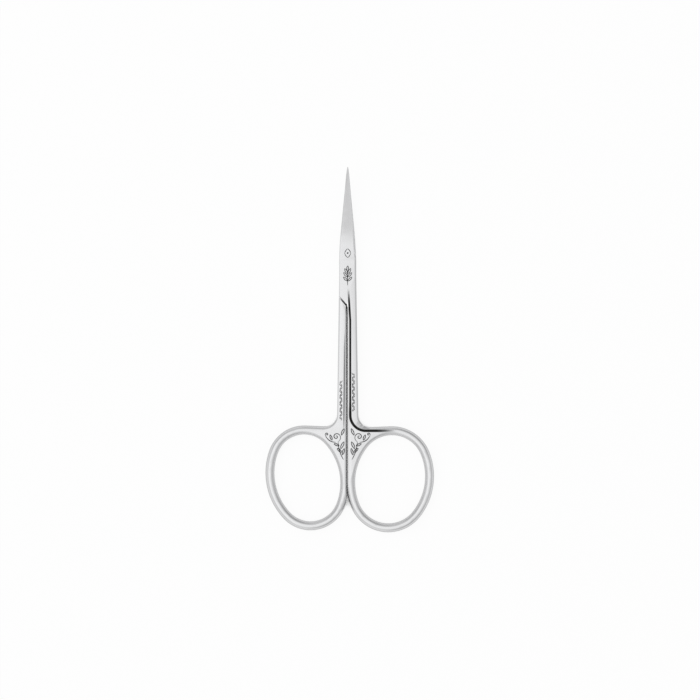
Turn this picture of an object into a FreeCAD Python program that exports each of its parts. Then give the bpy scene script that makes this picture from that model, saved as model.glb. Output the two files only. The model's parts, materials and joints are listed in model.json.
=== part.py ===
import FreeCAD, Part
import math
import os

# Cuticle scissors lying on their back, closed, tip towards +Y and front face up.
# Sizes are in millimetres and are taken from the pivot, where the two halves cross.

# blades and joint
blade_reach = 31.0          # pivot to tip
cutting_length = 21.0       # sharpened part of each blade
bend_start = 8.0            # pivot up to where the blades begin to curve
tip_rise = 3.6              # how far the tips curve up, towards the front
tip_width = 0.42
tip_thickness = 0.42
taper_run = 7.5             # over which the joint's parallel sides turn into the taper
joint_width = 4.9
joint_length = 4.0          # parallel part of the joint above the pivot
thickness = 3.0             # the two lapped halves together, and each shank and ring
joint_play = 0.04           # between the lapped faces
bevel_width = 0.5           # ground bevel beside the cutting edge
edge_wall = 0.14            # upright left at the cutting edge under the bevel
edge_setback = 0.2          # each cutting edge behind the spine of the other blade
blade_inset = 0.02          # blade surfaces below the joint's
blade_root = 0.54           # of the blade inside the joint
nose_run = 1.35             # end of the blade, drawn in to the point
nose_width = 0.25           # of the point itself
spine_swell = 0.07          # bulge of the rounded spine edge, per length of its chord
side_swell = 0.04           # the same where the blade's edge side is not yet ground
bevel_swell = 0.01          # the same on the ground bevel
hollow_depth = 0.05         # hollow grind of the inner blade faces

# lap shoulders and shanks
shoulder_drop = 6.3         # pivot down to the outer end of the slanting shoulder
shoulder_angle = 50.0       # degrees below the horizontal
shoulder_gap = 0.4
shank_gap = 0.3             # between the closed shanks
gap_shift = 0.33            # middle of that gap, to the left of the pivot
shank_width = 3.05          # one shank at its ring
crotch_round = 3.4          # between shank and ring, outside
run_out = 10.0              # degrees at which the shank's flat side runs out onto the ring
web_slope = 2.3             # degrees, top of the web beside the shank

# finger rings: the right one is on the front half, the left one on the rear half
right_opening_width = 20.05
right_opening_length = 25.5
right_end_draw = 1.02       # radius of the narrow ends, below half the opening's width
right_lean = 8.0            # degrees, top outwards
right_drop = 58.9           # pivot down to the middle of the ring
left_opening_width = 18.7
left_opening_length = 25.25
left_end_draw = 1.3
left_lean = 11.5
left_drop = 58.5
ring_band = 2.6             # width of the ring bar
right_gap_flat = 0.27       # cut off the right ring's bar where the two rings lie side by side
left_gap_flat = 0.94        # the same on the left ring

# edges and grooves
edge_draw = 1.0             # how far the rounded ring sides draw in towards the front and back
shank_ease = 0.5            # the same along the outer sides of shank and joint, flat in between
joint_ease = 0.3            # the same at the far side of the joint and along the notch
gap_ease = 0.3              # the least of it beside the gap
cut_margin = 0.3            # waste outside the rounded sides
notch_round = 0.6           # between notch and gap, at the rounded edges
front_bead = 0.91           # between the gap and the middle of the front groove
front_bead_start = 0.38     # the same at the groove's upper end
rear_bead_start = 0.42      # between the gap and the middle of the rear groove, at its upper end
rear_bead_end = 0.65        # the same at its lower end
front_groove_width = 0.5
front_groove_depth = 0.34
front_groove_lead = 3.2     # pivot down to the front groove's upper end
front_groove_knee = 13.0    # pivot down to where that groove turns along the gap
rear_groove_width = 0.34
rear_groove_depth = 0.2
rear_groove_lead = 15.0     # pivot down to the rear groove's upper end
knee_turn = 100.0           # radius of the front groove's knee
groove_turn = 7.5           # radius where the front groove swings out onto the ring
groove_fade = 6.0           # length over which a groove deepens from nothing

# pivot screw, entered from the back
screw_head_width = 3.4
screw_head_height = 0.55
screw_shoulder_width = 2.4
screw_thread_width = 2.0
screw_inset = 0.08          # head below the back face
screw_clearance = 0.02      # radial, at the bearing and at the thread
head_clearance = 0.05       # radial, in the counterbore
slot_width = 0.55
slot_depth = 0.3
slot_turn = 35.0            # degrees from the scissors' width
thread_cover = 0.35         # metal left over the blind thread in the front half

# sizes that follow from the ones above
joint_half = joint_width / 2
half_gap = shank_gap / 2
top = thickness / 2
inner = joint_play / 2
half_thickness = top - inner
edge_inset = min(edge_draw, 0.46 * ring_band, 0.9 * top)
side_radius = (top ** 2 + edge_inset ** 2) / (2 * edge_inset)
shank_off = edge_inset - shank_ease
joint_off = edge_inset - joint_ease
waste = cut_margin / 2
shoulder_slope = math.tan(math.radians(shoulder_angle))
shank_length = left_drop - left_opening_length / 2 - ring_band - crotch_round
shank_flare = (shank_width - joint_half) / shank_length
blade_length = blade_reach - joint_length
edge_start = blade_reach - cutting_length
bend_run = blade_reach - bend_start
bend_radius = (bend_run ** 2 + tip_rise ** 2) / (2 * tip_rise)


def at(x, y, z=0.0):
    return FreeCAD.Vector(x, y, z)


def side_inset(z):
    # a rounded side draws in from its widest, at mid thickness, to this at a height z
    return side_radius - math.sqrt(side_radius ** 2 - z ** 2)


def flat_height(cut):
    # height up to which a side is flat once so much of its rounding is cut off
    return math.sqrt(side_radius ** 2 - (side_radius - cut) ** 2)


def arc(middle, radius, first, last):
    return Part.ArcOfCircle(Part.Circle(middle, at(0, 0, 1), radius), first, last)


class Ring:
    # four-arc oval opening, leaning outwards, inside a parallel bar that is cut flat at the gap
    def __init__(self, width, length, end_draw, lean, drop, gap_x, flat):
        short, long = width / 2, length / 2
        self.gap_x = gap_x
        self.flat = flat
        self.gap_off = min(flat, edge_inset - gap_ease)
        self.end = short - end_draw
        self.rise = long - self.end
        self.side = (short ** 2 + self.rise ** 2 - self.end ** 2) / (2 * end_draw)
        self.inset = self.side - short
        self.lean = math.radians(lean)
        self.joint = math.atan2(self.rise, self.inset)
        x = gap_x + ring_band - flat + self.side - self.inset * math.cos(self.lean)
        across = at(math.cos(self.lean), -math.sin(self.lean))
        along = at(math.sin(self.lean), math.cos(self.lean))
        self.middle = at(x, -drop)
        self.left = self.middle + across * self.inset
        self.right = self.middle - across * self.inset
        self.upper = self.middle + along * self.rise
        self.lower = self.middle - along * self.rise
        self.opening_top = self.upper.y + self.end
        self.bar_bottom = self.lower.y - self.end - ring_band
        self.bar_reach = self.right.x + self.side + ring_band

    def arcs(self, grow, first, last):
        # counterclockwise from an angle on the gap side round to an angle at the top
        turns = [math.pi + self.joint, 2 * math.pi - self.joint, 2 * math.pi + self.joint]
        turns = [first] + [t - self.lean for t in turns] + [last]
        middles = (self.left, self.lower, self.right, self.upper)
        radii = (self.side, self.end, self.side, self.end)
        return [arc(m, r + grow, a, b) for m, r, a, b in zip(middles, radii, turns, turns[1:])]

    def opening(self, grow=0):
        start = math.pi - self.joint - self.lean
        return self.arcs(grow, start, start + 2 * math.pi)

    def bar(self, grow):
        # from the gap side round to where the web's top runs tangent into the bar
        return self.arcs(ring_band + grow, math.pi, math.radians(450 + web_slope))


def wire(curves):
    return Part.Wire([c.toShape() for c in curves])


def corner_arc(before, corner, after, radius):
    # arc that rounds the corner between two straight sides
    into = (before - corner).normalize()
    out = (after - corner).normalize()
    half = into.getAngle(out) / 2
    length = radius / math.tan(half)
    middle = corner + (into + out).normalize() * (radius / math.sin(half))
    nearest = middle + (corner - middle).normalize() * radius
    return Part.Arc(corner + into * length, nearest, corner + out * length)


def gap_side(ring, far_off, gap_off, low):
    # far side of the joint, slanting notch and gap, from the top of the joint down to a height low;
    # the notch runs parallel to the other half's shoulder; far_off moves the joint's side and the
    # notch outwards, gap_off the gap
    gap_x = ring.gap_x - gap_off
    far_x = -joint_half - far_off
    drop = -shoulder_drop - far_off / math.cos(math.radians(shoulder_angle))
    far_top = at(far_x, joint_length)
    notch_out = at(far_x, drop + far_off * shoulder_slope)
    notch_in = at(gap_x, drop - (joint_half + gap_x) * shoulder_slope)
    end = at(gap_x, low)
    notch_bend = corner_arc(far_top, notch_out, notch_in, edge_inset + far_off)
    gap_bend = corner_arc(notch_out, notch_in, end, notch_round + ring.flat - gap_off)
    return [Part.LineSegment(far_top, notch_bend.StartPoint), notch_bend,
            Part.LineSegment(notch_bend.EndPoint, gap_bend.StartPoint), gap_bend,
            Part.LineSegment(gap_bend.EndPoint, end)]


def outer_side(ring, grow, side_off):
    # anticlockwise from the gap side of the ring: bar, web, crotch, shank, joint;
    # grow widens it all, and side_off moves the shank and joint outwards
    near_x = joint_half + side_off + grow
    bar = ring.bar(grow)
    end = bar[-1].EndPoint
    # the web's top line meets the shank's outer side at the crotch
    slope = math.tan(math.radians(web_slope))
    crotch_y = (end.y + slope * (near_x - end.x)) / (1 + slope * shank_flare)
    crotch = at(near_x - shank_flare * crotch_y, crotch_y)
    pivot_side = at(near_x, 0)
    near_top = at(near_x, joint_length)
    crotch_bend = corner_arc(end, crotch, pivot_side, crotch_round - grow)
    side_bend = corner_arc(crotch, pivot_side, near_top, joint_half / shank_flare)
    return bar + [Part.LineSegment(end, crotch_bend.StartPoint), crotch_bend,
                  Part.LineSegment(crotch_bend.EndPoint, side_bend.StartPoint), side_bend,
                  Part.LineSegment(side_bend.EndPoint, near_top)]


def slab(outline, low, high):
    return Part.Face(outline).extrude(at(0, 0, high - low)).translated(at(0, 0, low))


def beside(side, corners):
    # full-height prism between a side of the outline and the corners beyond it
    ends = [side[-1].EndPoint] + corners + [side[0].StartPoint]
    return slab(Part.Wire([c.toShape() for c in side] + Part.makePolygon(ends).Edges), -top, top)


def swept(section, edge):
    # section carried along the straight or round edge that it stands across
    bend = edge.Curve
    if isinstance(bend, Part.Circle):
        return section.revolve(bend.Center, bend.Axis, math.degrees(edge.Length / bend.Radius))
    return section.extrude(edge.valueAt(edge.LastParameter) - edge.valueAt(edge.FirstParameter))


def rounded_side(path, material):
    # waste outside the bulging side of a bar, along lines and arcs that run tangent to each other;
    # material is 1 where the bar lies to the left of the path and -1 where it lies to the right
    tall = at(0, 0, (top + side_radius) / 2)
    pieces = []
    for edge in wire(path).Edges:
        start = edge.valueAt(edge.FirstParameter)
        ahead = edge.tangentAt(edge.FirstParameter)
        inwards = at(-ahead.y, ahead.x) * material
        deep = start + inwards * side_inset(tall.z)
        outside = start - inwards * cut_margin
        bulge = Part.Arc(deep + tall, start, deep - tall).toShape()
        box = Part.makePolygon([deep - tall, outside - tall, outside + tall, deep + tall])
        pieces.append(swept(Part.Face(Part.Wire([bulge] + box.Edges)), edge))
    return pieces[0].multiFuse(pieces[1:])


def half_plate(ring):
    # joint, shank and ring of one half, with the joint on top
    wide = 2 * joint_width
    low = ring.bar_bottom
    blank = outer_side(ring, waste, shank_off)
    blank = gap_side(ring, joint_off + waste, ring.flat + waste, blank[0].StartPoint.y) + blank
    closing = Part.LineSegment(blank[-1].EndPoint, blank[0].StartPoint)
    plate = slab(wire(blank + [closing]), -top, top)
    plate = plate.cut(slab(wire(ring.opening(-waste)), -top, top))
    # rounded sides; the bar's own rounding runs on along the gap where the flat leaves enough of it
    outer = outer_side(ring, 0, shank_off)
    gap_low = low if ring.gap_off < ring.flat else outer[0].StartPoint.y
    plate = plate.cut(rounded_side(gap_side(ring, joint_off, ring.gap_off, gap_low), 1))
    plate = plate.cut(rounded_side(outer, 1))
    plate = plate.cut(rounded_side(ring.opening(), -1))
    # flat sides at the joint, notch and gap, and from the crotch up along the shank
    plate = plate.cut(beside(gap_side(ring, 0, 0, low), [at(-wide, low), at(-wide, joint_length)]))
    shank = outer_side(ring, 0, 0)[-4:]
    leave = shank[0].StartPoint
    rise = math.tan(math.radians(web_slope + run_out)) * (wide - leave.x)
    plate = plate.cut(beside(shank, [at(wide, joint_length), at(wide, leave.y + rise)]))
    # half lap: the joint and blade of the other half lie under this one
    shoulder = -shoulder_drop - shoulder_gap - joint_half * shoulder_slope
    corners = [at(wide, shoulder + wide * shoulder_slope), at(wide, blade_reach), at(-wide, blade_reach),
               at(-wide, low), at(ring.gap_x, low), at(ring.gap_x, shoulder + ring.gap_x * shoulder_slope)]
    return plate.cut(slab(Part.makePolygon(corners + corners[:1]), inner - thickness, inner))


def spine_reach(y):
    # spine side of a blade from the middle line: parallel, a parabola, then a straight taper
    taper = (joint_half - tip_width / 2) / (blade_length - taper_run / 2)
    past = max(0.0, y - joint_length)
    if past < taper_run:
        return joint_half - taper * past * past / (2 * taper_run)
    return joint_half - taper * (past - taper_run / 2)


def tip_lift(y):
    # circular bend of the blades towards the front
    past = max(0.0, y - bend_start)
    return bend_radius - math.sqrt(bend_radius ** 2 - past ** 2)


def bulged(first, last, bulge):
    # arc from first to last that swells outwards by a share of its chord
    chord = last - first
    outwards = at(chord.z, 0, -chord.x)
    return Part.Arc(first, (first + last) / 2 + outwards * bulge, last).toShape()


def blade_section(y, bow):
    # flat inner face with a hollow grind, bevelled cutting edge, rounded spine
    along = max(0.0, (y - joint_length) / blade_length)
    ground = min(1.0, along * blade_length / (edge_start - joint_length))
    ground = ground * ground * (3 - 2 * ground)
    nose = max(0.0, 1 - (blade_reach - y) / nose_run)
    spine = spine_reach(y) - nose * (tip_width - nose_width) / 2 - blade_inset
    slim = (spine / joint_half) ** 0.7
    thick = half_thickness - 2 * blade_inset
    thick = thick + (tip_thickness - thick) * along ** 2
    low = inner + blade_inset + bow * tip_lift(y)
    high = low + thick
    edge = spine - edge_setback * ground * slim
    back = slim * joint_ease
    fall = (top - flat_height(joint_off)) * thick / half_thickness
    bevel = slim * (shank_ease + (bevel_width - shank_ease) * ground)
    swell = side_swell + (bevel_swell - side_swell) * ground
    shank_wall = flat_height(shank_off) - inner
    wall = low + (shank_wall + (edge_wall - shank_wall) * ground) * thick / half_thickness
    hollow = Part.BezierCurve()
    hollow.setPoles([at(-spine, y, low),
                     at((edge - spine) / 2, y, low + 2 * hollow_depth * ground * slim),
                     at(edge, y, low)])
    line = Part.makeLine
    return Part.Wire([hollow.toShape(),
                      line(at(edge, y, low), at(edge, y, wall)),
                      bulged(at(edge, y, wall), at(edge - bevel, y, high), swell),
                      line(at(edge - bevel, y, high), at(back - spine, y, high)),
                      bulged(at(back - spine, y, high), at(-spine, y, high - fall), spine_swell),
                      line(at(-spine, y, high - fall), at(-spine, y, low))])


def blade(bow):
    # bow 1 curves the blade away from its inner face, -1 towards it
    shares = (0.08, 0.15, 0.22, 0.36, 0.5, 0.65, 0.8)
    stations = [joint_length + s * blade_length for s in shares]
    stations = [joint_length - blade_root] + stations + [blade_reach - nose_run, blade_reach]
    return Part.makeLoft([blade_section(y, bow) for y in stations], True, False)


def groove(stops, turns, width, depth):
    # vee groove through the stops, swung round each inner one; its ends slope up out of the surface
    sunk, clear = at(0, 0, top - depth), at(0, 0, top + depth / 4)
    begin = stops[0] + (stops[1] - stops[0]).normalize() * groove_fade
    finish = stops[-1] + (stops[-2] - stops[-1]).normalize() * groove_fade
    curves = [Part.LineSegment(stops[0] + clear, begin + sunk)]
    for corner, after, turn in zip(stops[1:-1], stops[2:-1] + [finish], turns):
        bend = corner_arc(begin + sunk, corner + sunk, after + sunk, turn)
        curves += [Part.LineSegment(begin + sunk, bend.StartPoint), bend]
        begin = bend.EndPoint - sunk
    curves += [Part.LineSegment(begin + sunk, finish + sunk),
               Part.LineSegment(finish + sunk, stops[-1] + clear)]
    pieces = []
    for edge in wire(curves).Edges:
        start = edge.valueAt(edge.FirstParameter)
        ahead = edge.tangentAt(edge.FirstParameter)
        wing = at(-ahead.y, ahead.x).normalize() * (0.75 * width)
        rim = start + at(0, 0, 1.5 * depth)
        pieces.append(swept(Part.Face(Part.makePolygon([start, rim + wing, rim - wing, start])), edge))
    return pieces[0].multiFuse(pieces[1:])


def round_bar(width, low, high):
    return Part.makeCylinder(width / 2, high - low, at(0, 0, low))


right_ring = Ring(right_opening_width, right_opening_length, right_end_draw, right_lean, right_drop,
                  half_gap - gap_shift, right_gap_flat)
left_ring = Ring(left_opening_width, left_opening_length, left_end_draw, left_lean, left_drop,
                 half_gap + gap_shift, left_gap_flat)
thread_end = top - thread_cover
head_end = screw_inset + screw_head_height

# front half: its groove runs from the joint down the shank and out along the ring's upper bar
groove_x = right_ring.gap_x + front_bead
limb_y = right_ring.opening_top + ring_band / 2
front_groove = groove([at(right_ring.gap_x + front_bead_start, -front_groove_lead),
                       at(groove_x, -front_groove_knee), at(groove_x, limb_y),
                       at(right_ring.middle.x + ring_band, limb_y)],
                      [knee_turn, groove_turn], front_groove_width, front_groove_depth)
front_half = half_plate(right_ring).fuse(blade(1)).cut(front_groove)
front_half = front_half.cut(round_bar(screw_thread_width + 2 * screw_clearance, 0, thread_end))

# rear half, made like the front one with the groove underneath, then turned over about its length
rear_groove = groove([at(left_ring.gap_x + rear_bead_start, -rear_groove_lead),
                      at(left_ring.gap_x + rear_bead_end, left_ring.opening_top)],
                     [], rear_groove_width, rear_groove_depth).mirror(at(0, 0), at(0, 0, 1))
rear_half = half_plate(left_ring).fuse(blade(-1)).cut(rear_groove)
rear_half = rear_half.cut(round_bar(screw_shoulder_width + 2 * screw_clearance, 0, thickness))
head_seat = top - head_end - inner
rear_half = rear_half.cut(round_bar(screw_head_width + 2 * head_clearance, head_seat, thickness))
rear_half = rear_half.rotated(at(0, 0), at(0, 1, 0), 180)

# pivot screw: slotted head at the back, plain bearing shoulder, threaded end in the front half
head_low = screw_inset - top
pivot_screw = round_bar(screw_head_width, head_low, head_low + screw_head_height)
pivot_screw = pivot_screw.fuse(round_bar(screw_shoulder_width, head_low, inner))
pivot_screw = pivot_screw.fuse(round_bar(screw_thread_width, head_low, thread_end - inner)).removeSplitter()
slot = Part.makeBox(2 * screw_head_width, slot_width, slot_depth,
                    at(-screw_head_width, -slot_width / 2, head_low))
pivot_screw = pivot_screw.cut(slot.rotated(at(0, 0), at(0, 0, 1), slot_turn))

# the origin lies under the middle of the closed pair
shift = at((left_ring.bar_reach - right_ring.bar_reach) / 2,
           -(blade_reach + min(left_ring.bar_bottom, right_ring.bar_bottom)) / 2, top)
os.makedirs("parts", exist_ok=True)
for name, shape in (("front_half", front_half), ("rear_half", rear_half), ("pivot_screw", pivot_screw)):
    placed = shape.translated(shift)
    placed.exportStep("parts/" + name + ".step")
    print(name, placed.isValid(), len(placed.Solids), round(placed.Volume, 2), placed.BoundBox)
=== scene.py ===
import json
import math

import bpy
import numpy as np
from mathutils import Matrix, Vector
from mathutils.geometry import delaunay_2d_cdt


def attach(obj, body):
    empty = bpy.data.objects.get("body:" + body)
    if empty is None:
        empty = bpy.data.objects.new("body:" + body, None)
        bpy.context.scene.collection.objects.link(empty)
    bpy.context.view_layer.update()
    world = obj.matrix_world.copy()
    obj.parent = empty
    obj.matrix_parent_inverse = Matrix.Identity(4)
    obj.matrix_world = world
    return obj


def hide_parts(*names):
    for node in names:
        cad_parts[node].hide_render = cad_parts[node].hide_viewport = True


# Cuticle scissors: finish, engraving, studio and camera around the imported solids.
# +Y points to the tips and +Z up to the viewer, with the origin under the middle of the closed pair.
# Sizes and places below are in millimetres.

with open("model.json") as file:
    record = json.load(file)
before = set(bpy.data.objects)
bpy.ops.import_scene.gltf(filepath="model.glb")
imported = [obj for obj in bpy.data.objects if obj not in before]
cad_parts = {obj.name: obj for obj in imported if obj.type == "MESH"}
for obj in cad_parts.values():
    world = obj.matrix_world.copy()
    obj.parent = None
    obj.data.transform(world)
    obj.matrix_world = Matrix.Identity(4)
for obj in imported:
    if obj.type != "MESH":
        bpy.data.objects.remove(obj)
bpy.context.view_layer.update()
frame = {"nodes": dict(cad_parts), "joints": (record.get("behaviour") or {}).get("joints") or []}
mm = 0.001
pivotX, pivotY, pivotZ = (float(v) / mm for v in frame["joints"][0]["pos_m"])
faceZ = 2 * pivotZ  # front faces of both halves
print("frame loaded, pivot at", round(pivotX, 3), round(pivotY, 3), "mm")


class Value:
    # an output socket; an expression on values adds its Math nodes
    def __init__(self, shade, socket):
        self.shade = shade
        self.socket = socket

    def math(self, operation, *others):
        return self.shade.node("Math", {"operation": operation}, dict(enumerate((self, *others))))

    def mathAfter(self, operation, first):
        return self.shade.node("Math", {"operation": operation}, {0: first, 1: self})

    def __add__(self, other):
        return self.math("ADD", other)

    def __sub__(self, other):
        return self.math("SUBTRACT", other)

    def __rsub__(self, other):
        return self.mathAfter("SUBTRACT", other)

    def __mul__(self, other):
        return self.math("MULTIPLY", other)

    def __truediv__(self, other):
        return self.math("DIVIDE", other)

    def __rtruediv__(self, other):
        return self.mathAfter("DIVIDE", other)

    def __lt__(self, other):
        return self.math("LESS_THAN", other)

    def __gt__(self, other):
        return self.math("GREATER_THAN", other)

    def __abs__(self):
        return self.math("ABSOLUTE")

    __radd__ = __add__
    __rmul__ = __mul__


class Shade:
    # the node tree of a material or of the world
    def __init__(self, owner):
        owner.use_nodes = True
        self.owner = owner
        self.tree = owner.node_tree
        self.tree.nodes.clear()

    # any node: its settings first, then the values or links of its sockets
    def node(self, kind, settings=None, sockets=None, out=0):
        made = self.tree.nodes.new("ShaderNode" + kind)
        for key, value in (settings or {}).items():
            if key == "stops":
                self.setStops(made.color_ramp.elements, value)
            else:
                setattr(made, key, value)
        for key, value in (sockets or {}).items():
            if isinstance(value, Value):
                self.tree.links.new(value.socket, made.inputs[key])
            else:
                made.inputs[key].default_value = value
        return Value(self, made.outputs[out]) if made.outputs else None

    def setStops(self, elements, stops):
        while len(elements) < len(stops):
            elements.new(1.0)
        for element, (place, level) in zip(elements, stops):
            element.position = place
            element.color = grey(level)

    def split(self, vector):
        made = self.node("SeparateXYZ", {}, {0: vector})
        return [Value(self, socket) for socket in made.socket.node.outputs]

    def join(self, x, y, z):
        return self.node("CombineXYZ", {}, {0: x, 1: y, 2: z})

    # Object coordinates in millimetres
    def place(self):
        return [v / mm for v in self.split(self.node("TexCoord", out="Object"))]

    # 0 below low, 1 above high, smooth between
    def step(self, value, low, high):
        return self.node("MapRange", {"interpolation_type": "SMOOTHSTEP"},
                         {"Value": value, "From Min": low, "From Max": high})

    def mixColour(self, factor, first, second):
        return self.node("Mix", {"data_type": "RGBA"}, {0: factor, 6: first, 7: second}, out=2)

    def noise(self, vector, scale, detail):
        return self.node("TexNoise", {}, {"Vector": vector, "Scale": scale, "Detail": detail})

    def surface(self, shader):
        isWorld = isinstance(self.owner, bpy.types.World)
        self.node("OutputWorld" if isWorld else "OutputMaterial", {}, {"Surface": shader})
        return self.owner


def newMaterial(name):
    return Shade(bpy.data.materials.new(name))


def grey(level):
    return (level, level, level, 1.0)


# length of an upright and a level part together
def reachOf(a, b):
    return (a * a + b * b).math("SQRT")


# steel of the halves
steelLook = {
    "base": (0.80, 0.80, 0.805, 1.0),
    "cloud": (0.765, 0.77, 0.78, 1.0),   # broad faint variation of the polish
    "cloudScale": 0.22,
    "cloudDetail": 1.0,
    "dark": (0.022, 0.022, 0.021, 1.0),  # painted shade in the grooves and the slot
    "darkCore": 0.8,                     # share of a groove's half width that is all dark
    "darkRoughness": 0.35,
    "darkMetal": 0.2,
    "side": (0.5, 0.5, 0.505, 1.0),      # painted shade: the steep sides are greyer, standing in for the dimmer light they mirror; they are also finished by grinding, not polished
    "sideSteep": (0.45, 0.78),           # upright part of the normal: all side, all face
    "sideRoughness": 0.1,
    "roughness": 0.13,
    "roughnessSpan": 0.07,
    "lineScale": 7.0,                    # polishing lines per millimetre across
    "lineDetail": 3.0,
    "lineMiddle": 0.5,                   # middle of the noise that draws them
    "lineStretch": 0.05,                 # how much slower they change along than across
    "lineDepth": 0.0012,
    "lineStrength": 0.35,
    "ringRadius": 12.0,                  # makes an angle round the ring a length
    "ringTop": (9.0, 15.0),              # above the ring's middle: all ring, all shank
}
# painted shade: the blades grow greyer towards the tips, and rougher
bladeTipShade = {
    "start": pivotY + 7.5,
    "full": pivotY + 15.0,
    "colour": (0.61, 0.61, 0.615, 1.0),
    "roughness": 0.07,
}


# distance from the middle of a groove: it slants from its start to its knee, runs straight down the
# shank to its corner and, where it has a turn radius, swings round there onto the ring
def grooveDistance(x, y, groove):
    startX, startY = groove["start"]
    cornerX, cornerY = groove["corner"]
    slant = ((y - groove["kneeY"]) / (startY - groove["kneeY"])).math("MAXIMUM", 0.0)
    shank = abs(x - (cornerX + slant * (startX - cornerX)))
    if "turn" not in groove:
        return shank
    turn = groove["turn"]
    middleX, middleY = cornerX + turn, cornerY + turn
    swing = abs(reachOf(x - middleX, y - middleY) - turn)
    limb = abs(y - cornerY)
    onLimb = x > middleX
    onShank = y > middleY
    lower = onLimb * limb + (1 - onLimb) * swing
    return onShank * shank + (1 - onShank) * lower


# painted shade of a groove: full near its middle line, gone at its half width, fading at both ends
def grooveShadeMask(shade, x, y, groove):
    distance = grooveDistance(x, y, groove)
    startY, cornerY = groove["start"][1], groove["corner"][1]
    if "turn" in groove:
        turnTop = cornerY + groove["turn"]
        onTurn = 1 - shade.step(y, turnTop, turnTop + groove["turn"])
        distance = distance / (1 + onTurn * groove["swell"])
        fadeOut = 1 - shade.step(x, groove["endX"] - groove["fadeOut"], groove["endX"])
    else:
        fadeOut = shade.step(y, cornerY, cornerY + groove["fadeOut"])
    across = 1 - shade.step(distance, groove["half"] * steelLook["darkCore"], groove["half"])
    fadeIn = 1 - shade.step(y, startY - groove["fadeIn"], startY)
    return across * fadeIn * fadeOut * groove["strength"]


# painted shade of the slanting slot between the front half's shoulder and the rear half
notch = {
    "outer": (pivotX - 2.24, pivotY - 6.5),  # its outer end, at the middle
    "fall": 1.1918,                          # per millimetre across
    "half": 0.42,                            # half its height
    "core": 0.7,                             # share of that which is all dark
    "end": pivotX - 0.2,
    "lead": 0.4,                             # the dark comes in from here, before the outer end
    "fade": 1.1,                             # to here, past it
    "elbow": (pivotX - 0.37, 0.2),           # middle and half width of its upright foot, above the gap
    "elbowSpan": (pivotY - 11.0, pivotY - 8.3),
    "floorHalf": 0.2,                        # of the height about the lap's face
    "lipLow": faceZ - 0.15,
}


# painted shade in the slot: on its floor and along its lips, not on its walls
def notchShadeMask(shade, x, y, z):
    outerX, outerY = notch["outer"]
    slant = outerY - (x - outerX) * notch["fall"]
    across = 1 - shade.step(abs(y - slant), notch["half"] * notch["core"], notch["half"])
    fade = shade.step(x, outerX - notch["lead"], outerX + notch["fade"])
    middle, half = notch["elbow"]
    foot, head = notch["elbowSpan"]
    elbow = (abs(x - middle) < half) * (y > foot) * (y < head)
    slot = (across * fade * (x < notch["end"])).math("MAXIMUM", elbow)
    return slot * ((abs(z - pivotZ) < notch["floorHalf"]) + (z > notch["lipLow"]))


def halfSteel(half):
    shade = newMaterial(half["finish"])
    x, y, z = shade.place()
    # polishing lines run along the shank and blade, and round the ring
    ringX, ringY = half["ringMiddle"]
    offX, offY = x - ringX, y - ringY
    allRing, allShank = steelLook["ringTop"]
    onRing = 1 - shade.step(y, ringY + allRing, ringY + allShank)
    turned = offY.math("ARCTAN2", offX) * steelLook["ringRadius"]
    across = onRing * reachOf(offX, offY) + (1 - onRing) * x
    along = onRing * turned + (1 - onRing) * y
    grain = shade.join(across, along * steelLook["lineStretch"], z)
    lines = shade.noise(grain, steelLook["lineScale"], steelLook["lineDetail"])
    cloud = shade.noise(shade.join(x, y, z), steelLook["cloudScale"], steelLook["cloudDetail"])
    # painted shade in the grooves and the slot, on the steep sides and towards the tips, and a painted
    # highlight on the raised strip beside the gap
    frontSide = z > pivotZ
    # painted shade along the grooves, on the front only, and in the slot
    grooveShade = grooveShadeMask(shade, x, y, half["groove"]) * frontSide
    dark = grooveShade.math("MAXIMUM", notchShadeMask(shade, x, y, z))
    upright = abs(shade.split(shade.node("TexCoord", out="Normal"))[2])
    side = 1 - shade.step(upright, *steelLook["sideSteep"])
    tipShade = shade.step(y, bladeTipShade["start"], bladeTipShade["full"])
    colour = shade.mixColour(cloud, steelLook["base"], steelLook["cloud"])
    # painted shade on the steep sides, partly a grinding finish
    colour = shade.mixColour(side, colour, steelLook["side"])
    # painted shade towards the tips
    colour = shade.mixColour(tipShade, colour, bladeTipShade["colour"])
    # painted highlight on the raised strip beside the gap, on the front only
    if "beadHighlight" in half:
        beadHighlight = half["beadHighlight"]
        onBeadHighlight = (x > beadHighlight["left"]) * (x < beadHighlight["right"]) * (y < beadHighlight["top"]) * (y > beadHighlight["bottom"])
        colour = shade.mixColour(onBeadHighlight * frontSide, colour, beadHighlight["colour"])
    # the painted shade of the grooves and the slot goes over all
    colour = shade.mixColour(dark, colour, steelLook["dark"])
    roughness = steelLook["roughness"] + (lines - steelLook["lineMiddle"]) * steelLook["roughnessSpan"]
    roughness = roughness + dark * steelLook["darkRoughness"] + tipShade * bladeTipShade["roughness"]
    roughness = roughness + side * steelLook["sideRoughness"]
    bump = shade.node("Bump", {}, {
        "Strength": steelLook["lineStrength"], "Distance": steelLook["lineDepth"] * mm, "Height": lines})
    return shade.surface(shade.node("BsdfPrincipled", {}, {
        "Base Color": colour, "Metallic": 1 - dark * (1 - steelLook["darkMetal"]),
        "Roughness": roughness, "Normal": bump}))


# turned steel of the screw: fine rings about the pivot
screwLook = {
    "light": (0.74, 0.74, 0.75, 1.0), "deep": (0.66, 0.66, 0.67, 1.0),
    "ringScale": 14.0, "ringDetail": 2.0, "ringDepth": 0.003, "ringStrength": 0.4,
    "roughness": 0.18, "roughnessSpan": 0.12,
}


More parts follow.
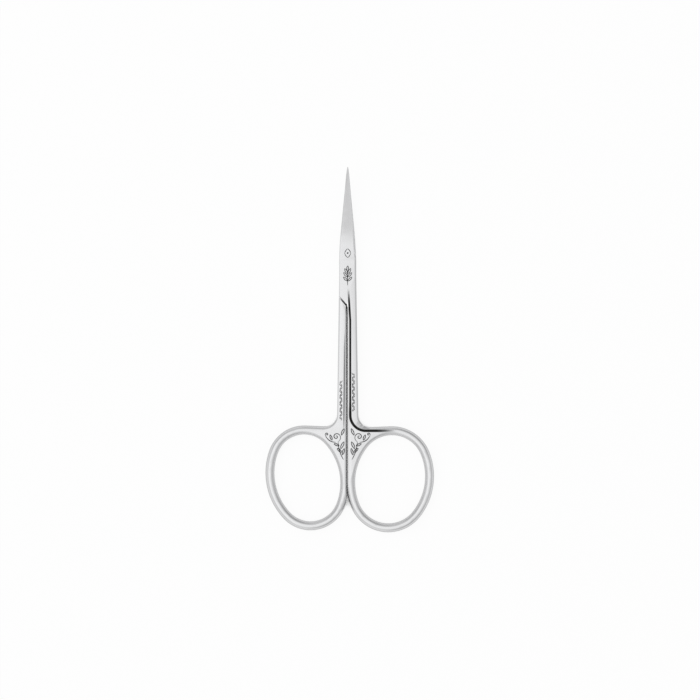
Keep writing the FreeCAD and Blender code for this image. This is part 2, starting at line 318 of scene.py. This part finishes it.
def screwSteel():
    shade = newMaterial("screw_steel")
    x, y, z = shade.place()
    reach = reachOf(x - pivotX, y - pivotY)
    rings = shade.noise(shade.join(reach, 0.0, z), screwLook["ringScale"], screwLook["ringDetail"])
    colour = shade.mixColour(rings, screwLook["light"], screwLook["deep"])
    roughness = screwLook["roughness"] + rings * screwLook["roughnessSpan"]
    bump = shade.node("Bump", {}, {
        "Strength": screwLook["ringStrength"], "Distance": screwLook["ringDepth"] * mm, "Height": rings})
    return shade.surface(shade.node("BsdfPrincipled", {}, {
        "Base Color": colour, "Metallic": 1.0, "Roughness": roughness, "Normal": bump}))


# dark etched lines, a little uneven
etchedLook = {
    "deep": (0.05, 0.05, 0.052, 1.0), "light": (0.11, 0.11, 0.112, 1.0),
    "speckleScale": 9.0, "speckleDetail": 2.0,
    "metal": 0.2, "roughness": 0.45, "roughnessSpan": 0.2,
}


def etchedDark():
    shade = newMaterial("etched_dark")
    place = shade.join(*shade.place())
    speckle = shade.noise(place, etchedLook["speckleScale"], etchedLook["speckleDetail"])
    colour = shade.mixColour(speckle, etchedLook["deep"], etchedLook["light"])
    roughness = etchedLook["roughness"] + speckle * etchedLook["roughnessSpan"]
    return shade.surface(shade.node("BsdfPrincipled", {}, {
        "Base Color": colour, "Metallic": etchedLook["metal"], "Roughness": roughness}))


# the halves and the screw: each takes its own node's surface
frontHalf = {
    "name": "front_half_steel", "node": "front_half", "body": "front", "slot": "half_steel",
    "finish": "front_steel",
    "crease": 32,  # degrees
    "ringMiddle": (pivotX + 12.24, pivotY - 58.9),
    # the groove's path and its painted shade
    "groove": {
        "start": (pivotX + 0.12, pivotY - 3.2),
        "kneeY": pivotY - 13.0,
        "corner": (pivotX + 0.73, pivotY - 44.89),
        "turn": 4.5,
        "endX": pivotX + 14.8,
        "half": 0.33,   # half width of the dark
        "swell": 0.3,   # how much wider it is on the turn
        "fadeIn": 5.0,
        "fadeOut": 7.0,
        "strength": 1.0,
    },
    # the same turn in the solid, which the surface tightens
    "bend": {
        "solidTurn": 7.5,
        "halfWidth": 0.255,        # this and the depth take in all the groove's walls
        "depth": 0.45,
        "rim": 0.1,                # least distance of a rim from the middle
        "leftRim": pivotX + 0.56,  # the rim on the gap's side stays right of this
        "lift": 1.5,               # how soon along the turn the rims are level with the front face
    },
    # painted highlight on the raised strip between the gap and the groove
    "beadHighlight": {
        "left": pivotX - 0.2,
        "right": pivotX + 0.42,
        "top": pivotY - 8.0,
        "bottom": pivotY - 66.0,
        "colour": (0.97, 0.97, 0.97, 1.0),
    },
}
rearHalf = {
    "name": "rear_half_steel", "node": "rear_half", "body": "rear", "slot": "half_steel",
    "finish": "rear_steel",
    "crease": 32,
    "ringMiddle": (pivotX - 11.64, pivotY - 58.5),
    # the groove's path and its painted shade
    "groove": {
        "start": (pivotX - 0.90, pivotY - 15.0),
        "kneeY": pivotY - 46.0,
        "corner": (pivotX - 1.13, pivotY - 46.0),
        "half": 0.19,
        "fadeIn": 18.0,
        "fadeOut": 5.0,
        "strength": 0.55,
    },
}
pivotScrew = {
    "name": "pivot_screw_steel", "node": "pivot_screw", "body": "front", "slot": "screw_steel",
    "crease": 32,
}
merging = {
    "digits": 5,     # corners that agree to so many digits are one
    "level": 1e-4,   # a face no further than this from the front face is flat
    "near": 1e-7,    # corners of the new layout closer than this are one
    "inside": 1,     # the triangulation's choice for triangles within the outline
}


# the groove swings onto the ring in a tighter bend than in the solid: each point of the bend slides
# along the corner's diagonal to the path with the smaller radius and keeps its distance from the
# groove's middle; the rims, which other faces share, come up to the front face
def tightenTurn(points, faces, groove, bend):
    wide, tight = bend["solidTurn"], groove["turn"]
    corner = np.array(groove["corner"])
    off = points[:, :2] - corner - wide
    aside = np.hypot(off[:, 0], off[:, 1]) - wide
    angle = np.arctan2(-off[:, 1], -off[:, 0])
    onTurn = (abs(aside) < bend["halfWidth"]) & (angle > 0) & (angle < math.pi / 2)
    onTurn &= points[:, 2] > faceZ - bend["depth"]
    along = wide * (np.sin(angle) - np.cos(angle))
    diagonal = math.sqrt(0.5)
    newAngle = math.pi / 4 + np.arcsin(np.clip(along / tight * diagonal, -diagonal, diagonal))
    normal = -np.column_stack((np.cos(newAngle), np.sin(newAngle)))
    straight = np.column_stack((np.maximum(along - tight, 0), np.maximum(-along - tight, 0)))
    placed = corner + tight + straight + normal * (tight + aside)[:, None]
    placed[:, 0] = np.maximum(placed[:, 0], bend["leftRim"])
    moved = points.copy()
    moved[onTurn, :2] = placed[onTurn]
    rim = np.zeros(len(points), dtype=bool)
    rim[faces[~np.all(onTurn[faces], axis=1)]] = True
    rim &= onTurn & (abs(aside) > bend["rim"])
    lift = np.minimum(bend["lift"] * np.sin(2 * angle), 1)
    moved[rim, 2] += (lift * (faceZ - points[:, 2]))[rim]
    return moved


# the flat front is laid out anew in triangles that stay inside its own outline, which is every edge
# that only one flat triangle has
def layFrontAnew(points, faces):
    flat = np.all(abs(points[faces][:, :, 2] - faceZ) < merging["level"], axis=1)
    sides = np.sort(faces[flat][:, [[0, 1], [1, 2], [2, 0]]].reshape(-1, 2), axis=1)
    sides, uses = np.unique(sides, axis=0, return_counts=True)
    used, outline = np.unique(sides[uses == 1], return_inverse=True)
    outline = outline.reshape(-1, 2)
    plan = points[used, :2]
    laid = delaunay_2d_cdt([Vector(p) for p in plan], outline.tolist(), [],
                           merging["inside"], merging["near"])
    corners = np.array([tuple(p) for p in laid[0]])
    triangles = np.array(laid[2])
    # corners where two edges cross are new points
    place = np.array([used[ids[0]] if ids else -1 for ids in laid[3]])
    crossed = place < 0
    place[crossed] = len(points) + np.arange(crossed.sum())
    added = np.column_stack((corners[crossed], np.full(crossed.sum(), faceZ)))
    # a triangle is inside where a line to its right meets the outline an odd number of times
    middle = corners[triangles].mean(axis=1)
    first, last = plan[outline[:, 0]], plan[outline[:, 1]]
    spans = (first[:, 1] > middle[:, 1:]) != (last[:, 1] > middle[:, 1:])
    rise = np.where(first[:, 1] == last[:, 1], 1.0, last[:, 1] - first[:, 1])
    meets = first[:, 0] + (last[:, 0] - first[:, 0]) * (middle[:, 1:] - first[:, 1]) / rise
    inside = (spans & (meets > middle[:, :1])).sum(axis=1) % 2 == 1
    return np.vstack((points, added)), np.vstack((faces[~flat], place[triangles[inside]]))


def newPiece(name, points, faces, material):
    mesh = bpy.data.meshes.new(name)
    mesh.from_pydata((np.array(points) * mm).tolist(), [], np.array(faces).tolist())
    mesh.materials.append(material)
    piece = bpy.data.objects.new(name, mesh)
    bpy.context.scene.collection.objects.link(piece)
    return piece


# a node's own surface with its doubles merged, so that the shading runs on from face to face
def skinOf(skin, material):
    source = frame["nodes"][skin["node"]].data
    points = np.empty(len(source.vertices) * 3)
    source.vertices.foreach_get("co", points)
    corners = np.empty(len(source.loops), dtype=np.int32)
    source.loops.foreach_get("vertex_index", corners)
    rounded = np.round(points.reshape(-1, 3) / mm, merging["digits"])
    points, merged = np.unique(rounded, axis=0, return_inverse=True)
    faces = merged.reshape(-1)[corners].reshape(-1, 3)
    faces = faces[np.all(faces != np.roll(faces, 1, axis=1), axis=1)]
    if "bend" in skin:
        points = tightenTurn(points, faces, skin["groove"], skin["bend"])
        points, faces = layFrontAnew(points, faces)
    piece = newPiece(skin["name"], points, faces, material)
    mesh = piece.data
    mesh.polygons.foreach_set("use_smooth", np.ones(len(mesh.polygons), dtype=bool))
    mesh.set_sharp_from_angle(angle=math.radians(skin["crease"]))
    shading = piece.modifiers.new("even_shading", "WEIGHTED_NORMAL")
    shading.keep_sharp = True
    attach(piece, skin["body"])
    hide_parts(skin["node"])


skinOf(frontHalf, halfSteel(frontHalf))
skinOf(rearHalf, halfSteel(rearHalf))
skinOf(pivotScrew, screwSteel())
print("steel surfaces made")


# engraved ornament: flat strokes on the front faces, each a closed strip along a plane curve
etching = {
    "lift": 0.012,    # above the front face
    "sink": 0.06,     # below it
    "steps": 36,      # points along a stroke
    "thinEnd": 0.35,  # width of a stroke's ends against its middle
}
etched = etchedDark()


# logarithmic spiral: the radius shrinks by one ratio while the angle runs on evenly
def spiral(middle, radii, startDegrees, turns):
    t = np.linspace(0, 1, etching["steps"])
    radius = radii[0] * (radii[1] / radii[0]) ** t
    angle = math.radians(startDegrees) + 2 * math.pi * turns * t
    return np.column_stack((middle[0] + radius * np.cos(angle), middle[1] + radius * np.sin(angle)))


# quadratic curve from first to last, bowed sideways by bow at its middle
def bowed(first, last, bow):
    t = np.linspace(0, 1, etching["steps"])[:, None]
    first, last = np.array(first, float), np.array(last, float)
    chord = last - first
    aside = np.array((-chord[1], chord[0])) / np.hypot(*chord)
    middle = (first + last) / 2 + aside * 2 * bow
    return (1 - t) ** 2 * first + 2 * t * (1 - t) * middle + t ** 2 * last


# leaf outline: two bows from base to tip
def leaf(base, tip, width):
    return [bowed(base, tip, width / 2), bowed(base, tip, -width / 2)]


# strip: the half width swells from thin ends as the root of a sine, and a section of four corners
# runs along the path
def strip(path, width):
    ahead = np.gradient(path, axis=0)
    ahead /= np.linalg.norm(ahead, axis=1)[:, None]
    aside = np.column_stack((-ahead[:, 1], ahead[:, 0]))
    t = np.linspace(0, 1, len(path))
    thin = etching["thinEnd"]
    half = width / 2 * (thin + (1 - thin) * np.sqrt(np.sin(math.pi * t)))[:, None]
    left, right = path + aside * half, path - aside * half
    high = np.full((len(path), 1), faceZ + etching["lift"])
    low = np.full((len(path), 1), faceZ - etching["sink"])
    section = ((left, low), (right, low), (right, high), (left, high))
    points = np.stack([np.hstack(corner) for corner in section], axis=1).reshape(-1, 3)
    station = np.arange(len(path) - 1)[:, None] * 4
    corner = np.arange(4)
    after = (corner + 1) % 4
    sides = (station + corner, station + after, station + 4 + after, station + 4 + corner)
    sides = np.stack(sides, axis=2).reshape(-1, 4)
    last = 4 * (len(path) - 1)
    caps = np.array(((3, 2, 1, 0), (last, last + 1, last + 2, last + 3)))
    return points, np.vstack((sides, caps))


def etch(look, strokes):
    made = [strip(path, look["width"]) for path in strokes]
    starts = np.cumsum([0] + [len(points) for points, _ in made[:-1]])
    points = np.vstack([points for points, _ in made])
    faces = np.vstack([faces + start for (_, faces), start in zip(made, starts)])
    piece = newPiece(look["name"], points, faces, etched)
    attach(piece, look["body"])


# a path given from the pivot, mirrored about the middle line where side is -1
def sided(path, side):
    return np.column_stack((pivotX + side * path[:, 0], pivotY + path[:, 1]))


# scroll on the web between shank and ring: a volute on a stem, a branch that ends in a curl, and
# leaves along both
def webScroll(look):
    strokes = [spiral(*look["volute"]), bowed(*look["stem"]),
               bowed(*look["branch"]), spiral(*look["curl"])]
    for base, tip, width in look["leaves"]:
        strokes += leaf(base, tip, width)
    etch(look, [sided(path, look["side"]) for path in strokes])


webShape = {
    "width": 0.29,
    "volute": ((3.3, -46.6), (1.55, 0.2), 250, -1.6),  # middle, first and last radius, angle, turns
    "stem": ((1.2, -53.2), (2.77, -48.06), -0.35),     # first, last and bow
    "branch": ((3.4, -48.2), (6.4, -46.3), -0.55),
    "curl": ((6.0, -45.9), (0.55, 0.12), -50, 1.2),
    "leaves": (                                        # base, tip and width
        ((1.52, -51.9), (0.98, -49.9), 0.5),
        ((1.75, -51.1), (3.05, -49.9), 0.55),
        ((2.05, -50.1), (1.05, -48.0), 0.6),
        ((2.4, -49.2), (4.0, -48.6), 0.5),
        ((1.85, -46.2), (1.0, -44.2), 0.55),
        ((4.5, -47.65), (5.1, -46.0), 0.5),
    ),
}
frontWebScroll = {"name": "front_web_scroll", "body": "front", "side": 1, **webShape}
rearWebScroll = {"name": "rear_web_scroll", "body": "rear", "side": -1, **webShape}
webScroll(frontWebScroll)
webScroll(rearWebScroll)


# running wave down a shank, a sine of the way down, with a leaf across it at each crest
def shankVine(look):
    t = np.linspace(0, 1, look["steps"])
    middle, top, fall = look["middle"], look["top"], look["bottom"] - look["top"]
    crests, swing = look["crests"], look["swing"]
    strokes = [np.column_stack((middle + swing * np.sin(2 * math.pi * crests * t), top + fall * t))]
    for i in range(2 * crests):
        y = top + fall * (i + 0.5) / (2 * crests)  # in the middle of a half wave
        way = 1 if i % 2 == 0 else -1
        base = (middle + swing * way, y)
        tip = (middle - look["leafReach"] * way, y + look["leafRise"])
        strokes.append(bowed(base, tip, look["leafBow"] * way))
    etch(look, [sided(path, look["side"]) for path in strokes])


vineShape = {
    "width": 0.22, "steps": 288, "crests": 6, "swing": 0.28,
    "leafReach": 0.364, "leafRise": 0.6, "leafBow": 0.2,
}
frontShankVine = {
    "name": "front_shank_vine", "body": "front", "side": 1,
    "middle": 1.62, "top": -28.3, "bottom": -39.5, **vineShape,
}
rearShankVine = {
    "name": "rear_shank_vine", "body": "rear", "side": -1,
    "middle": 1.95, "top": -30.5, "bottom": -42.0, **vineShape,
}
shankVine(frontShankVine)
shankVine(rearShankVine)


# upright sprig over the pivot: a stem, pairs of leaves and one leaf at its top
def sprig(look):
    foot, head = look["stem"]
    strokes = [sided(bowed((0, foot), (0, head), look["stemBow"]), 1)]
    for base, tip in look["pairs"]:
        for side in (1, -1):
            outline = leaf((look["leafFoot"], base), tip, look["leafWidth"])
            strokes += [sided(path, side) for path in outline]
    outline = leaf((0, head), (0, look["top"]), look["leafWidth"])
    strokes += [sided(path, 1) for path in outline]
    etch(look, strokes)


jointSprig = {
    "name": "joint_sprig", "body": "front", "width": 0.25,
    "stem": (-3.0, 1.0), "stemBow": 0.06, "top": 2.7, "leafWidth": 0.52, "leafFoot": 0.06,
    "pairs": ((-1.75, (1.25, -0.55)), (-0.6, (1.2, 0.75)), (0.4, (0.9, 1.9))),  # base, then the tip
}
sprig(jointSprig)


# small lozenge above the sprig: four bowed sides about a wound dot
def lozenge(look):
    tall, wide = look["reach"]
    corners = [(0, tall), (wide, 0), (0, -tall), (-wide, 0), (0, tall)]
    corners = [(x, look["middle"] + y) for x, y in corners]
    strokes = [bowed(a, b, look["bow"]) for a, b in zip(corners, corners[1:])]
    strokes.append(spiral((0, look["middle"]), look["dot"], 0, look["dotTurns"]))
    etch(look, [sided(path, 1) for path in strokes])


jointLozenge = {
    "name": "joint_lozenge", "body": "front", "width": 0.22,
    "middle": 6.3, "reach": (1.3, 0.9), "bow": 0.12, "dot": (0.24, 0.05), "dotTurns": 2.0,
}
lozenge(jointLozenge)
print("engraving made")


# pale floor: plain white to the eye and in the steel, but for the shadow
floorLook = {
    "reach": 2000.0,
    "low": -0.02,
    "white": 0.9,
    "shown": 0.93,               # share of plain white; the rest keeps the shadow
    "crevice": 2.5,              # reach of the walls that darken the floor in the slot between them
    "creviceRays": 8,
    "creviceStep": (0.22, 0.5),  # share of open sky: all dark, all white
    "touch": 0.2,                # what lies nearer than this rests on the floor
}


def paleFloor():
    shade = newMaterial("pale_floor")
    seen = shade.node("LightPath", out="Is Camera Ray")
    mirrored = shade.node("LightPath", out="Is Glossy Ray")
    passed = shade.node("LightPath", out="Is Transmission Ray")
    white = seen.math("MAXIMUM", mirrored).math("MAXIMUM", passed)
    openSky = shade.node("AmbientOcclusion", {"samples": floorLook["creviceRays"]},
                         {"Distance": floorLook["crevice"] * mm}, out="AO")
    lit = shade.step(openSky, *floorLook["creviceStep"])
    matt = shade.node("BsdfDiffuse", {}, {"Color": grey(floorLook["white"])})
    glow = shade.node("Emission", {}, {"Color": grey(1.0), "Strength": 1.0})
    floor = shade.node("MixShader", {}, {0: white * lit * floorLook["shown"], 1: matt, 2: glow})
    # clear from below, and to the backs that lie on it, so that they can be seen from there
    under = shade.node("NewGeometry", out="Backfacing")
    resting = shade.node("LightPath", out="Ray Length") < floorLook["touch"] * mm
    clear = shade.node("BsdfTransparent")
    through = under.math("MAXIMUM", resting * mirrored)
    return shade.surface(shade.node("MixShader", {}, {0: through, 1: floor, 2: clear}))


def makeFloor():
    reach, low = floorLook["reach"], floorLook["low"]
    points = [(-reach, -reach, low), (reach, -reach, low), (reach, reach, low), (-reach, reach, low)]
    floor = newPiece("floor", points, [(0, 1, 2, 3)], paleFloor())


# white tent all round, greyer towards the sides, the rings and the tips
tent = {
    # place from 0 to 1 and brightness there, from left to right and from the rings to the tips
    "sideways": ((0.0, 0.7), (0.12, 0.8), (0.3, 1.0), (0.42, 1.0),
                 (0.5, 0.92), (0.6, 0.78), (0.7, 0.67), (1.0, 0.54)),
    "lengthways": ((0.0, 0.7), (0.16, 0.78), (0.34, 0.97), (0.5, 1.0),
                   (0.62, 0.93), (0.75, 0.7), (0.9, 0.6)),
    "level": 1.1,
}


def makeTent():
    world = bpy.data.worlds.new("studio_tent")
    bpy.context.scene.world = world
    shade = Shade(world)
    # a direction's parts run from -1 to 1
    x, y = shade.split(shade.node("TexCoord", out="Generated"))[:2]
    sideways = shade.node("ValToRGB", {"stops": tent["sideways"]}, {0: (x + 1) / 2})
    lengthways = shade.node("ValToRGB", {"stops": tent["lengthways"]}, {0: (y + 1) / 2})
    light = shade.node("Mix", {"data_type": "RGBA", "blend_type": "MULTIPLY"},
                       {0: 1.0, 6: sideways, 7: lengthways}, out=2)
    shade.surface(shade.node("Background", {}, {"Color": light, "Strength": tent["level"]}))


# soft light on the floor and the dark strokes, from the upper left
softbox = {"place": (-750, 400, 1050), "width": 1200, "watts": 5.0}


def makeSoftbox():
    data = bpy.data.lights.new("softbox", "AREA")
    data.size = softbox["width"] * mm
    data.energy = softbox["watts"]
    lamp = bpy.data.objects.new("softbox", data)
    lamp.location = Vector(softbox["place"]) * mm
    lamp.rotation_euler = lamp.location.to_track_quat("Z", "Y").to_euler()
    lamp.visible_glossy = False  # the steel mirrors only the tent and the floor
    bpy.context.scene.collection.objects.link(lamp)


makeFloor()
makeTent()
makeSoftbox()
print("studio made")


# camera: straight above, with a long lens
shot = {
    "lens": 200.0, "sensor": 36.0,
    "pixels": 700, "mmPerPixel": 0.2885,
    "aside": 0.07,
    "clip": (10.0, 10000.0),
}


def makeCamera():
    data = bpy.data.cameras.new("above")
    data.lens = shot["lens"]
    data.sensor_width = shot["sensor"]
    data.clip_start, data.clip_end = (distance * mm for distance in shot["clip"])
    camera = bpy.data.objects.new("above", data)
    across = shot["pixels"] * shot["mmPerPixel"]
    height = faceZ / 2 + across * shot["lens"] / shot["sensor"]
    camera.location = Vector((shot["aside"], 0, height)) * mm
    bpy.context.scene.collection.objects.link(camera)
    bpy.context.scene.camera = camera


makeCamera()
bpy.context.scene.view_settings.view_transform = "Standard"
